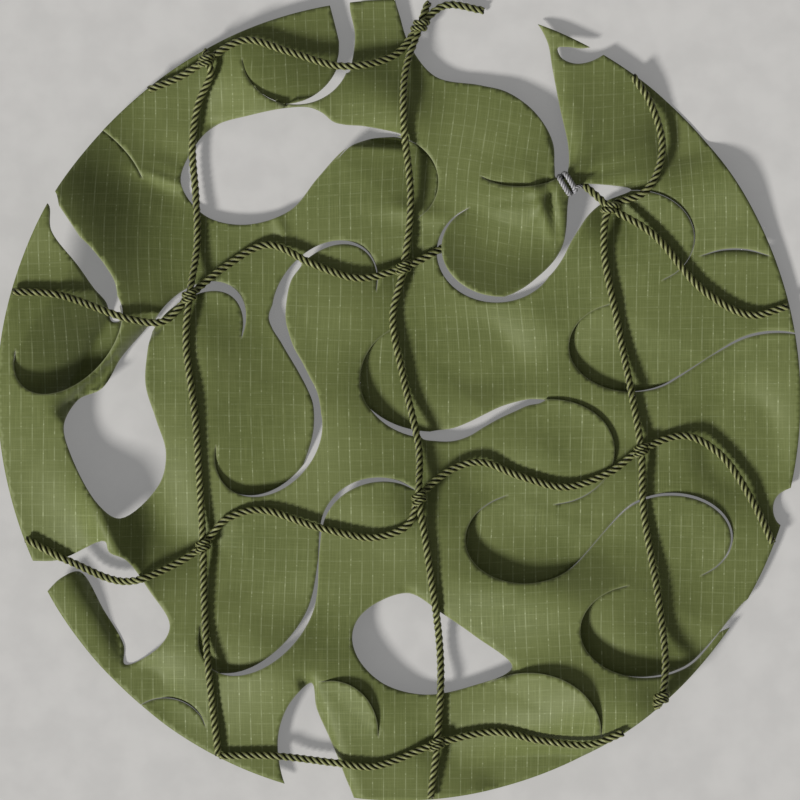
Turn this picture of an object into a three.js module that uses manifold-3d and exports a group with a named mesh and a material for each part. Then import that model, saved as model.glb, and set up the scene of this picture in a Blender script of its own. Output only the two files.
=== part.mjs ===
// A round cut of shade netting: die-cut ripstop cloth lying under a knotted square net of cord.
// Millimetres, +Z up, the cloth's resting plane at z = 0 and the middle of the cut on the Z axis.
import * as THREE from 'three';
import Module from 'manifold-3d';
import { mergeVertices } from 'three/addons/utils/BufferGeometryUtils.js';

const wasm = await Module();
wasm.setup();

// Driving sizes
const discRadius = 168;
const clothThickness = 1;
const clothLevel = 4;
const kerfWidth = 0.6;
const cordRadius = 1.7;
const knotRingRadius = 2.5;
const knotCordRadius = 1.25;
const knotCoreRadius = 3.1;
const knotSlant = 24;
const knotTurnShift = 1.3;
const knotReach = knotRingRadius + knotCordRadius;
const threadRadius = 0.6;
const clearance = 0.6;

// Steps of the faceted surfaces
const arcStep = 18;
const edgeStep = 7;
const gridStep = 9.5;
const gridMargin = 5.5;
const shortestEdge = 0.8;
const smallestGap = 4;
const rimPoints = 116;
const cordSides = 6;
const knotSides = 4;
const knotSteps = 9;
const coreSides = 8;
const coreRings = 6;
const cordStation = 3.5;
const stationsPerStep = 2.4;
const floorBlend = 1;

const rows = (columns, list) => {
  const names = columns.split(' ');
  return list.map((values) => Object.fromEntries(names.map((name, i) => [name, values[i]])));
};

// Leaves freed by the S cuts. Each edge is an oval arc about x, y, and the leaf is inside its bend.
// gap and dx, dy draw the leaf's edge back, and lift raises or drops its tip.
const leaves = rows('cut x y long short tilt from to gap dx dy lift', [
  ['centre', 13.5, 9, 30, 25, 0, 125, 315, 0, -3, 3.5, -8],
  ['centre', 62, -22, 27.5, 22, 0, 135, -85, 0, 0.7, 0.7, 4],
  ['topLeft', -43.5, 144.5, 22.5, 21, 0, 184, 362, 0, -5, -1, -4],
  ['topLeft', -21, 208, 26, 19.5, 50, 165, 80, 1, 0, 0, 0],
  ['sweep', -6.5, 91.5, 22.5, 19.5, 0, 150, -51, 0, 0.9, -0.3, -4],
  ['tall', -55, -17, 26, 19.5, 50, 127, 345, 0, -3, 0.5, -6],
  ['tall', -31.5, 43.5, 26, 19, 50, 165, -54, 1.8, 1, 0, 2],
  ['top', 50.5, 98.5, 19.5, 9, 0, 20, -150, 0, 0, -0.6, -2],
  ['low', -59.5, -89.5, 30, 19.5, 48, 130, 320, 0, -3.5, 0.8, -6],
  ['low', -9, -55.5, 24.5, 23, 0, 170, 50, 2.5, 0, -1, 2],
  ['west', -138.5, 26, 27.5, 17, 48, 131, 335, 0, -1, -2, -22],
  ['west', -132.5, 97.5, 31.5, 17, -40, 255, 46, 0, 0.8, 0.8, -7],
  ['bay', -85.5, 27.5, 25, 17.5, 50, 128, -64, 3, 0, -1, 3],
  ['foot', -98.5, -140.5, 17.5, 15.5, 0, 150, 12, 0.1, 0, 0, 1],
  ['bow', 40.5, 62, 25, 21, 0, 117, 325, 1.4, 1.2, 0.8, 14],
  ['bow', 99, 68, 24.5, 20, 0, 150, -64, 0.1, 0, 0, 1],
  ['east', 140.5, 40, 29.5, 23.5, 0, 120, 60, 0.4, 0, 0, -2],
  ['right', 53.5, -57.5, 26, 19, 5, 105, 320, 0, -1.5, -1.5, -8],
  ['right', 114, -57.5, 25.5, 18.5, 0, 140, -62, 1, 0, 0, 2],
  ['rise', 97.5, 22.5, 26.5, 19, 0, 110, 318, 0, -2, 0, -6],
  ['rise', 157.5, 12, 26, 17, 0, 130, 55, 0.9, 0, 0, 1],
  ['corner', 103, -96.5, 27.5, 19.5, 0, 105, 318, 0, -2, 0, -9],
  ['corner', 164, -96.5, 25.5, 18.5, 0, 140, 90, 4.2, 1, -2, 0],
  ['south', 53, -142, 31.5, 27.5, 0, 120, 0, 0, 0.8, 0.8, 6],
  ['heel', -30, -141.5, 21, 24, 0, 100, 0, 0, 0.6, 0.6, 5],
]);

// Outlines of the cuts that stand wide open, with the points that each shape needs
const openings = {
  sweep: [[-92, 91.5], [-86, 106.5], [-77.5, 115], [-63, 119], [-42, 121], [-29.5, 117], [-14.5, 114.5],
    [1, 111], [-12.5, 109.5], [-23, 105], [-34.5, 93], [-46, 79.5], [-65, 73.5], [-82, 77.5]],
  top: [[-1.5, 174], [0.5, 159], [4.5, 148], [15, 135.5], [33.5, 132], [45, 129], [56.5, 120.5],
    [64, 108], [64.6, 97], [65, 93.4], [68.8, 92.6], [70.5, 97.5], [70.5, 106], [67, 122.5],
    [64, 138.5], [61.5, 151], [54, 162], [29.5, 176.5]],
  bay: [[-103.6, 32.5], [-105.6, 21], [-106.5, 6.5], [-102, -8.5], [-98, -22], [-101, -35.5],
    [-117, -49.5], [-126, -43.5], [-137.5, -23.5], [-140.5, -10.5], [-135, 0], [-124.5, 5],
    [-117.5, 17], [-110, 26]],
  cape: [[-163, -69], [-143, -67], [-123.3, -59], [-121.5, -63.5], [-114.5, -67], [-105, -80],
    [-96.5, -94.5], [-101.5, -104], [-115.5, -111], [-116, -103], [-124.5, -88], [-134.5, -72],
    [-142, -74.5], [-156, -87]],
  south: [[-20, -99.5], [-17.5, -91.5], [-9, -84.5], [4, -81], [17, -89], [31.5, -99], [47, -112],
    [29.5, -120], [10.5, -123.5], [-6.5, -119], [-17, -109]],
  heel: [[-37, -118.5], [-45.5, -126], [-50.5, -137.5], [-51, -149.5], [-47, -164], [-38, -175],
    [-18.5, -175], [-24, -155.5], [-29.5, -142], [-35, -129]],
  throat: [[67, 60.5], [69.4, 72], [70.2, 82], [71.2, 87.2], [73.6, 90], [82, 90.4], [97, 88.2],
    [85.5, 83], [79, 77.5], [73.5, 68]],
  notch: [[66.2, 147.6], [67.6, 143.6], [73, 141.1], [79.7, 141.9], [88, 146.5], [92, 150], [83, 148.6],
    [76.7, 147.4], [70, 148]],
  band: [[-153, 84], [-146.3, 81.5], [-145.1, 70.6], [-134.3, 56.1], [-127.8, 46.5], [-123.1, 40.8],
    [-120.6, 30.4], [-115.9, 30.8], [-117.8, 40], [-119, 48.8], [-123.1, 56.1], [-129.4, 64.1],
    [-136.7, 71.4], [-141.5, 79.4], [-143.5, 86.6], [-149, 93]],
  gore: [[-31, 173], [-28.6, 165], [-26, 155], [-25.6, 146], [-26.5, 138], [-21.5, 137], [-20, 142],
    [-18.9, 153], [-21, 164], [-21.5, 174]],
  bite: [[172, -36], [159, -39.5], [156.5, -45.5], [159, -52], [172, -55]],
};

// Broad rises and dips of the lying cloth
const swells = rows('x y rx ry height', [
  [-176, 28, 58, 50, 23],
  [-98, 92, 26, 24, -6],
  [-88, -29, 16, 38, 5],
  [-126, -42, 17, 17, 7],
  [-94, -55, 18, 20, -6],
  [-23, -8, 22, 25, 5],
  [4, -50, 26, 20, 7],
  [34, -78, 26, 18, 5],
  [55, 82, 24, 17, 9],
  [67, 109, 28, 24, 5],
  [-54, 124, 36, 28, 13],
  [-78, 122, 16, 16, -7],
  [142, 96, 22, 22, 5],
  [80, 2, 26, 16, 3],
  [58, -80, 26, 14, 6],
  [96, -128, 32, 18, 9],
  [-52, -112, 30, 20, 10],
  [-18, -82, 28, 26, 5],
  [-66, -8, 26, 30, 5],
  [-12, -124, 18, 14, 3],
  [34, 21, 34, 20, -6],
  [143, -17, 18, 22, -8],
  [67, -155, 30, 12, -12],
  [66, -128, 30, 24, 8],
  [-108, -121, 14, 12, -8],
  [122, 113, 18, 18, -8],
  [-140, -82, 16, 16, 4],
  [91, 78, 13, 12, -3],
  [56, -24, 20, 14, 4],
  [82, -98, 26, 24, 6],
  [-20, 38, 18, 16, 3],
  [56, 31, 14, 12, 4],
  [-82, 24, 14, 14, 3],
  [-150, 88, 32, 32, 17],
  [-14, 128, 16, 16, 5],
  [2, 120, 12, 12, 4],
  [104, -104, 20, 18, 5],
  [-120.5, -59.5, 8, 20, 6],
]);

// Edges of the wide openings where the cloth rolls down; it lies left of the line from x1, y1 to x2, y2
const rolls = rows('x1 y1 x2 y2 width drop', [
  [-77.5, 115, 1, 111, 5, 4],
  [55, 159, 69.5, 105, 10, 6],
  [-138, -1, -105, 31.5, 9, 9],
  [-116, -105, -134.5, -72, 9, 7],
  [4, -81, 47, -112, 4, 3],
  [-37, -118.5, -20, -168, 6, 4],
]);

// Cord routes in plan; a third value of -1 takes the cord under the cloth
const under = -1;
const cords = {
  columnWest: [[-82.5, 148.5], [-81, 142], [-79, 137.5], [-84.5, 124], [-87, 107], [-85.5, 84], [-85, 65],
    [-88, 43.5], [-89.5, 25], [-85.5, -8.5], [-83.5, -40], [-82.5, -61], [-82, -84], [-80.5, -109],
    [-77, -150.5]],
  columnMiddle: [[12, 169.5], [8.5, 157], [2.5, 138.5], [1.5, 117.5], [4.5, 84], [1.5, 55.5], [-3, 34.5],
    [1.5, 9], [8, -21], [8, -41], [11, -61], [17, -109], [15.5, -144], [13, -169.5]],
  columnEast: [[98.5, 137], [105, 124.5], [110, 105], [103, 87.5], [88, 80.5], [85.5, 63], [90.5, 35.5],
    [97.5, 0], [101, -21], [102, -46], [108, -82], [111, -111.5], [109, -124.5], [108, -129.5]],
  rowTop: [[-106, 131], [-92.5, 135], [-81, 142], [-65, 150.5], [-46, 145.5], [-23, 139.5], [-2, 144.5],
    [8.5, 157], [19, 165.5], [35.5, 165.5]],
  rowUpper: [[-164.5, 46], [-143, 44], [-111.5, 33.5], [-98.5, 33], [-88, 43.5], [-73.5, 55.5], [-55.5, 65],
    [-35.5, 56.5], [-17, 51], [1.5, 55.5], [13, 61], [23.5, 67, under], [42, 75.5, under], [60, 85, under],
    [69, 90.4, under], [75, 91.2, under], [79.5, 88, under], [84, 84], [88, 80.5], [106, 69.5], [127, 46],
    [147, 35.5], [165.5, 40]],
  rowLower: [[-158.5, -59], [-138.5, -67.5], [-115.5, -76], [-96.5, -70], [-82.5, -61], [-73.5, -50.5],
    [-59.5, -46], [-33.5, -53.5], [-10.5, -57.5], [3.5, -52], [8, -41], [21, -29.5], [33.5, -26],
    [50.5, -32], [69.5, -36.5], [87.5, -30.5], [101, -21], [119.5, -15], [134.5, -23], [147, -41],
    [159.5, -61]],
  rowBottom: [[-76.5, -151], [-54.5, -149], [-27.5, -152], [-10.5, -153.5], [15.5, -144], [40, -139],
    [59, -142.5], [80, -144], [94, -140.5]],
};

// Knots, with the way that the column cord runs through each
const knots = rows('x y heading', [
  [-81, 142, 80],
  [8.5, 157, 65],
  [-88, 43.5, 85],
  [1.5, 55.5, 85],
  [88, 80.5, 60],
  [-82.5, -61, 85],
  [8, -41, 95],
  [101, -21, 85],
  [15.5, -144, 85],
  [109, -124.5, 80],
]);

// Thread tie round the web of cloth between the top and bow cuts
const tie = { x: 69.9, y: 90.5, heading: -59, halfWidth: 5.6, halfHeight: 4.1, drop: 1.7, turnGap: 1 };

// Plan curves and polygons
const flat = ([x, y]) => new THREE.Vector3(x, y, 0);
const plan = (points, closed) => new THREE.CatmullRomCurve3(points.map(flat), closed);

function ovalArc(leaf) {
  const count = Math.round(Math.abs(leaf.to - leaf.from) / arcStep);
  const tilt = THREE.MathUtils.degToRad(leaf.tilt);
  return Array.from({ length: count + 1 }, (_, i) => {
    const angle = THREE.MathUtils.degToRad(leaf.from + ((leaf.to - leaf.from) * i) / count);
    const along = leaf.long * Math.cos(angle);
    const across = leaf.short * Math.sin(angle);
    return [
      leaf.x + along * Math.cos(tilt) - across * Math.sin(tilt),
      leaf.y + along * Math.sin(tilt) + across * Math.cos(tilt),
    ];
  });
}

function inside(x, y, polygon) {
  let odd = false;
  polygon.forEach((a, i) => {
    const b = polygon[(i + 1) % polygon.length];
    const crosses = a.y > y !== b.y > y && x < a.x + ((y - a.y) * (b.x - a.x)) / (b.y - a.y);
    if (crosses) odd = !odd;
  });
  return odd;
}

// One S cut: its middle line, its kerf's outline, and the leaf that each half frees
function makeCut(parts) {
  const arcs = parts.map(ovalArc);
  const curve = plan(arcs.flat(), false);
  const samples = 10;
  const lengths = curve.getLengths(samples * (arcs.flat().length - 1));
  const middle = lengths[samples * (arcs[0].length - 0.5)] / lengths.at(-1);
  const split = parts.length === 2 ? middle : 1;
  const count = Math.round(curve.getLength() / edgeStep);
  const left = [];
  const right = [];
  const halves = parts.map(() => []);
  for (let i = 0; i <= count; i += 1) {
    const t = i / count;
    const half = t > split ? 1 : 0;
    const leaf = parts[half];
    const point = curve.getPointAt(t);
    const ahead = curve.getTangentAt(t);
    const side = new THREE.Vector3(-ahead.y, ahead.x, 0);
    const share = half === 0 ? t / split : (1 - t) / (1 - split);
    const open = Math.sin(Math.PI * Math.min(share, 1));
    const turnsLeft = leaf.to > leaf.from;
    const inward = side.clone().multiplyScalar(turnsLeft ? 1 : -1);
    const drawn = flat([leaf.dx, leaf.dy]).addScaledVector(inward, leaf.gap).multiplyScalar(open);
    drawn.addScaledVector(inward, Math.max(0, -drawn.dot(inward)));
    const isTip = i === 0 || i === count;
    const leftEdge = point.clone().addScaledVector(side, isTip ? 0 : kerfWidth / 2);
    const rightEdge = point.clone().addScaledVector(side, isTip ? 0 : -kerfWidth / 2);
    (turnsLeft ? leftEdge : rightEdge).add(drawn);
    left.push(leftEdge);
    if (!isTip) right.push(rightEdge);
    halves[half].push(leftEdge.clone().lerp(rightEdge, 0.5));
  }
  if (parts.length === 2) halves[0].push(halves[1][0]);
  const flaps = parts.map((leaf, i) => makeFlap(halves[i], leaf.lift));
  return { outline: [...left, ...right.reverse()], flaps };
}

// A leaf hinges on the line between the two ends of its edge
function makeFlap(edge, lift) {
  const start = edge[0];
  const along = edge[edge.length - 1].clone().sub(start).normalize();
  const normal = new THREE.Vector3(-along.y, along.x, 0);
  const reach = edge.map((point) => point.clone().sub(start).dot(normal));
  const far = reach.reduce((best, value) => (Math.abs(value) > Math.abs(best) ? value : best), 0);
  return { edge, start, normal, far, lift };
}

const cutNames = [...new Set(leaves.map((leaf) => leaf.cut))];
const cuts = cutNames.map((name) => makeCut(leaves.filter((leaf) => leaf.cut === name)));
const flaps = cuts.flatMap((cut) => cut.flaps);
const wide = Object.values(openings).map((points) => {
  return plan(points, true).getPoints(2 * points.length).slice(0, -1);
});
const gaps = [...cuts.map((cut) => cut.outline), ...wide];
const inGap = (x, y) => gaps.some((outline) => inside(x, y, outline));

// Height of the cloth's underside over the resting plane
const smooth = (t) => THREE.MathUtils.smoothstep(t, 0, 1);
const flapPower = 1.2;
const edgeSlack = 2;

function rollDrop(roll, x, y) {
  const length = Math.hypot(roll.x2 - roll.x1, roll.y2 - roll.y1);
  const ux = (roll.x2 - roll.x1) / length;
  const uy = (roll.y2 - roll.y1) / length;
  const along = (x - roll.x1) * ux + (y - roll.y1) * uy;
  const away = (y - roll.y1) * ux - (x - roll.x1) * uy;
  if (away < -edgeSlack || away > roll.width) return 0;
  const depth = Math.min(1, 1 - away / roll.width);
  const fade = smooth(along / roll.width + 1) * smooth((length - along) / roll.width + 1);
  return roll.drop * (1 - Math.sqrt(1 - depth * depth)) * fade;
}

function clothHeight(x, y) {
  let z = clothLevel;
  for (const { x: cx, y: cy, rx, ry, height } of swells) {
    z += height * Math.exp(-(((x - cx) / rx) ** 2) - ((y - cy) / ry) ** 2);
  }
  for (const flap of flaps) {
    if (!inside(x, y, flap.edge)) continue;
    const reach = ((x - flap.start.x) * flap.normal.x + (y - flap.start.y) * flap.normal.y) / flap.far;
    z += flap.lift * Math.max(reach, 0) ** flapPower;
  }
  for (const roll of rolls) z -= rollDrop(roll, x, y);
  if (z <= -floorBlend) return 0;
  return z < floorBlend ? (z + floorBlend) ** 2 / (4 * floorBlend) : z;
}

// Plan triangles between points, each with no other point in its circle
function triangulate(points) {
  const outside = 20 * discRadius;
  const frame = [[-outside, -outside], [outside, -outside], [0, outside]].map(flat);
  const all = [...points, ...frame];
  const circled = (a, b, c) => {
    const [p, q, r] = [all[a], all[b], all[c]];
    const d = 2 * (p.x * (q.y - r.y) + q.x * (r.y - p.y) + r.x * (p.y - q.y));
    const [pp, qq, rr] = [p, q, r].map((v) => v.x * v.x + v.y * v.y);
    const x = (pp * (q.y - r.y) + qq * (r.y - p.y) + rr * (p.y - q.y)) / d;
    const y = (pp * (r.x - q.x) + qq * (p.x - r.x) + rr * (q.x - p.x)) / d;
    return { corners: [a, b, c], x, y, square: (p.x - x) ** 2 + (p.y - y) ** 2 };
  };
  let open = [circled(points.length, points.length + 1, points.length + 2)];
  points.forEach((point, index) => {
    const rim = new Map();
    open = open.filter((triangle) => {
      if ((point.x - triangle.x) ** 2 + (point.y - triangle.y) ** 2 > triangle.square) return true;
      triangle.corners.forEach((a, i) => {
        const b = triangle.corners[(i + 1) % 3];
        const twin = `${b} ${a}`;
        if (!rim.delete(twin)) rim.set(`${a} ${b}`, [a, b]);
      });
      return false;
    });
    rim.forEach(([a, b]) => open.push(circled(a, b, index)));
  });
  return open.map((triangle) => triangle.corners).filter((corners) => Math.max(...corners) < points.length);
}

// Outlines of the cloth in plan: the round cut less every gap
function clothOutlines() {
  const filled = (outline) => new wasm.CrossSection([outline.map((p) => [p.x, p.y])], 'NonZero');
  const round = wasm.CrossSection.circle(discRadius, rimPoints);
  const pieces = gaps.reduce((sheet, outline) => sheet.subtract(filled(outline)), round).decompose();
  const [largest] = pieces.sort((a, b) => b.area() - a.area());
  const loops = largest.toPolygons().map((loop) => loop.map(flat));
  return loops.filter((loop) => Math.abs(THREE.ShapeUtils.area(loop)) > smallestGap).map((loop) => {
    return loop.filter((point, i) => point.distanceTo(loop.at(i - 1)) > shortestEdge);
  });
}

// A staggered grid of points between the outlines
function gridPoints(outlines) {
  const edge = outlines.flat();
  const rowStep = gridStep * Math.sin(Math.PI / 3);
  const half = Math.ceil(discRadius / rowStep);
  const grid = [];
  for (let row = -half; row <= half; row += 1) {
    for (let column = -half; column <= half; column += 1) {
      const x = (column + (row % 2 === 0 ? 0 : 0.5)) * gridStep;
      const y = row * rowStep;
      const clear = edge.every((p) => Math.hypot(p.x - x, p.y - y) > gridMargin);
      if (clear && isCloth(x, y, outlines)) grid.push(new THREE.Vector3(x, y, 0));
    }
  }
  return grid;
}

const isCloth = (x, y, outlines) => outlines.filter((loop) => inside(x, y, loop)).length % 2 === 1;

// Plan triangles that follow every outline: an edge that they miss is halved, and they are made again
function planMesh() {
  let outlines = clothOutlines();
  const grid = gridPoints(outlines);
  for (;;) {
    const points = [...outlines.flat(), ...grid];
    const triangles = triangulate(points);
    const joined = new Set(triangles.flatMap(([a, b, c]) => [`${a} ${b}`, `${b} ${c}`, `${c} ${a}`]));
    let first = 0;
    const halved = outlines.map((loop) => {
      const offset = first;
      first += loop.length;
      return loop.flatMap((point, i) => {
        const next = (i + 1) % loop.length;
        const kept = joined.has(`${offset + i} ${offset + next}`);
        return kept ? [point] : [point, point.clone().lerp(loop[next], 0.5)];
      });
    });
    if (halved.flat().length === first) return { points, outlines, triangles };
    outlines = halved;
  }
}

// The lying sheet: plan triangles at the cloth's height, closed by a wall along every open edge
function makeCloth() {
  const { points, outlines, triangles: all } = planMesh();
  const triangles = all.filter((corners) => {
    const x = corners.reduce((sum, i) => sum + points[i].x, 0) / 3;
    const y = corners.reduce((sum, i) => sum + points[i].y, 0) / 3;
    return isCloth(x, y, outlines);
  });
  const count = points.length;
  const low = points.map((p) => [p.x, p.y, clothHeight(p.x, p.y)]);
  const high = low.map(([x, y, z]) => [x, y, z + clothThickness]);
  const index = [];
  const edges = new Map();
  triangles.forEach(([a, b, c]) => {
    index.push(a + count, b + count, c + count, a, c, b);
    [[a, b], [b, c], [c, a]].forEach(([p, q]) => {
      if (!edges.delete(`${q} ${p}`)) edges.set(`${p} ${q}`, [p, q]);
    });
  });
  edges.forEach(([p, q]) => index.push(p, q, q + count, p, q + count, p + count));
  const geometry = new THREE.BufferGeometry();
  geometry.setAttribute('position', new THREE.Float32BufferAttribute([...low, ...high].flat(), 3));
  geometry.setIndex(index);
  return geometry;
}

// Cord heights: lifted clear of the cloth, and drawn straight between where it bears
function bearing(x, y, reach, pick, none) {
  const count = 8;
  const spots = Array.from({ length: count }, (_, i) => {
    const angle = (2 * Math.PI * i) / count;
    return [x + reach * Math.cos(angle), y + reach * Math.sin(angle)];
  });
  const onCloth = [[x, y], ...spots].filter(([px, py]) => Math.hypot(px, py) < discRadius && !inGap(px, py));
  return onCloth.length ? pick(...onCloth.map(([px, py]) => clothHeight(px, py))) : none;
}

function stations(route) {
  const levelShare = 0.5;
  const endRadius = discRadius - cordRadius / 2;
  const trimmed = route.map(([x, y, level = 1]) => {
    const inward = Math.min(1, endRadius / Math.hypot(x, y));
    return new THREE.Vector3(x * inward, y * inward, level);
  });
  const curve = new THREE.CatmullRomCurve3(trimmed);
  return curve.getSpacedPoints(Math.round(curve.getLength() / cordStation)).map((point) => {
    const near = knots.find((knot) => Math.hypot(knot.x - point.x, knot.y - point.y) < cordStation);
    const reach = near ? knotReach : cordRadius;
    const { x, y, z: level } = point;
    const low = level > levelShare ? bearing(x, y, reach, Math.max, 0) + clothThickness : 0;
    const high = level < -levelShare ? bearing(x, y, cordRadius, Math.min, Infinity) : Infinity;
    return { x, y, knot: near, floor: low + reach + clearance, roof: high - cordRadius - clearance };
  });
}

function settle(list) {
  const tautPasses = 40;
  list.forEach((s) => {
    s.z = Math.min(s.pinned ?? s.floor, s.roof);
  });
  for (let pass = 0; pass < tautPasses; pass += 1) {
    for (let i = 1; i < list.length - 1; i += 1) {
      const s = list[i];
      const straight = (list[i - 1].z + list[i + 1].z) / 2;
      s.z = s.pinned ?? Math.min(Math.max(straight, s.floor), s.roof);
    }
  }
  return list;
}

const runs = Object.values(cords).map((route) => settle(stations(route)));
knots.forEach((knot) => {
  const held = runs.flat().filter((s) => s.knot === knot);
  knot.z = Math.max(...held.map((s) => s.z));
  held.forEach((s) => {
    s.pinned = knot.z;
  });
});
const lashed = runs.flat().filter((s) => Math.hypot(s.x - tie.x, s.y - tie.y) < cordStation);
lashed.forEach((s) => {
  s.pinned = s.roof;
});
runs.forEach(settle);

// Solids
function solid(geometry) {
  geometry.deleteAttribute('normal');
  geometry.deleteAttribute('uv');
  const weldDistance = 1e-4;
  const welded = mergeVertices(geometry, weldDistance);
  const vertProperties = new Float32Array(welded.attributes.position.array);
  const triVerts = new Uint32Array(welded.index.array);
  return new wasm.Manifold(new wasm.Mesh({ numProp: 3, vertProperties, triVerts }));
}

function surface(body) {
  const mesh = body.getMesh();
  const geometry = new THREE.BufferGeometry();
  geometry.setAttribute('position', new THREE.BufferAttribute(new Float32Array(mesh.vertProperties), 3));
  geometry.setIndex(new THREE.BufferAttribute(new Uint32Array(mesh.triVerts), 1));
  return geometry;
}

function makeCord(run) {
  const corner = (i) => (2 * Math.PI * i) / cordSides;
  const section = new THREE.Shape(
    Array.from({ length: cordSides }, (_, i) => {
      return new THREE.Vector2(cordRadius * Math.cos(corner(i)), cordRadius * Math.sin(corner(i)));
    }),
  );
  const path = new THREE.CatmullRomCurve3(run.map((s) => new THREE.Vector3(s.x, s.y, s.z)));
  const steps = Math.round(run.length / stationsPerStep);
  return solid(new THREE.ExtrudeGeometry(section, { steps, bevelEnabled: false, extrudePath: path }));
}

// A knot is two slanted turns of cord about the column, on a round core
function makeKnot(knot) {
  const slant = THREE.MathUtils.degToRad(knotSlant);
  const heading = THREE.MathUtils.degToRad(knot.heading);
  const ball = new THREE.SphereGeometry(knotCoreRadius, coreSides, coreRings);
  const core = solid(ball.translate(knot.x, knot.y, knot.z));
  return [-knotTurnShift, knotTurnShift].reduce((body, shift) => {
    const ring = new THREE.TorusGeometry(knotRingRadius, knotCordRadius, knotSides, knotSteps);
    ring.rotateY(Math.PI / 2).rotateZ(slant).translate(shift, 0, 0).rotateZ(heading);
    return body.add(solid(ring.translate(knot.x, knot.y, knot.z)));
  }, core);
}

// Two turns of thread, each a squared oval standing across the web
function makeTie() {
  const heading = THREE.MathUtils.degToRad(tie.heading);
  const squareness = 2 / 3;
  const turnPoints = 12;
  const middle = clothHeight(tie.x, tie.y) - tie.drop;
  const squared = (value, half) => half * Math.sign(value) * Math.abs(value) ** squareness;
  const turns = [-0.5, 0.5].map((side) => {
    const shift = side * tie.turnGap;
    const points = Array.from({ length: turnPoints }, (_, i) => {
      const angle = (2 * Math.PI * i) / turnPoints;
      const along = squared(Math.cos(angle), tie.halfWidth);
      const x = tie.x + along * Math.cos(heading) - shift * Math.sin(heading);
      const y = tie.y + along * Math.sin(heading) + shift * Math.cos(heading);
      return new THREE.Vector3(x, y, middle + squared(Math.sin(angle), tie.halfHeight));
    });
    const curve = new THREE.CatmullRomCurve3(points, true);
    return solid(new THREE.TubeGeometry(curve, 2 * turnPoints, threadRadius, cordSides, true));
  });
  return turns[0].add(turns[1]);
}

const netBody = [...runs.map(makeCord), ...knots.map(makeKnot)].reduce((whole, piece) => whole.add(piece));

const looks = {
  cloth: { color: 0x67734a, roughness: 0.8 },
  net: { color: 0x7d7a4e, roughness: 0.85 },
  tie: { color: 0x8e8e92, roughness: 0.6 },
};

function part(name, geometry) {
  const mesh = new THREE.Mesh(geometry, new THREE.MeshStandardMaterial({ ...looks[name], metalness: 0 }));
  mesh.name = name;
  return mesh;
}

const netting = new THREE.Group();
netting.add(part('cloth', makeCloth()));
netting.add(part('net', surface(netBody)));
netting.add(part('tie', surface(makeTie())));

export default netting;
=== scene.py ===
import math
import bpy
import numpy as np
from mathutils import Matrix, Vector, geometry, kdtree, noise


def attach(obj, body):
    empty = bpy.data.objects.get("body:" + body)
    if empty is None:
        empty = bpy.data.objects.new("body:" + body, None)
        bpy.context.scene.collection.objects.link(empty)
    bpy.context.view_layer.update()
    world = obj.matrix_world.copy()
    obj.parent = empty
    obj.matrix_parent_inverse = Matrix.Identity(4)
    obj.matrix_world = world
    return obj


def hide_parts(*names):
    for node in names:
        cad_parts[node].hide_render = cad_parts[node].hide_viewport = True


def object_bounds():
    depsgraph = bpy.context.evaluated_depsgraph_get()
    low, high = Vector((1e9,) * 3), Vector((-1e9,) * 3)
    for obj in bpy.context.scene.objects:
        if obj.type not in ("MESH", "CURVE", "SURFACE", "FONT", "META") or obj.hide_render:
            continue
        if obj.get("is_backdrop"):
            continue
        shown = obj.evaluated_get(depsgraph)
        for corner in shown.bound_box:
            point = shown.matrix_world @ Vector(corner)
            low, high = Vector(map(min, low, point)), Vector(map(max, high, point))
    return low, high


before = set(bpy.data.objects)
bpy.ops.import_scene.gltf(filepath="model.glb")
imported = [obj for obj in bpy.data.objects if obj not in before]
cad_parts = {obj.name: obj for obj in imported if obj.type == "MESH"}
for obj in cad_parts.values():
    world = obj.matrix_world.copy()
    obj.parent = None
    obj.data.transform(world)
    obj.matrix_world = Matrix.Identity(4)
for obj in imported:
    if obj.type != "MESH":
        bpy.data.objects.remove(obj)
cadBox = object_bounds()
mm = 0.001  # the tables are in millimetres


def rows(columns, table):
    names = columns.split()
    return [dict(zip(names, values)) for values in table]


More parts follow.
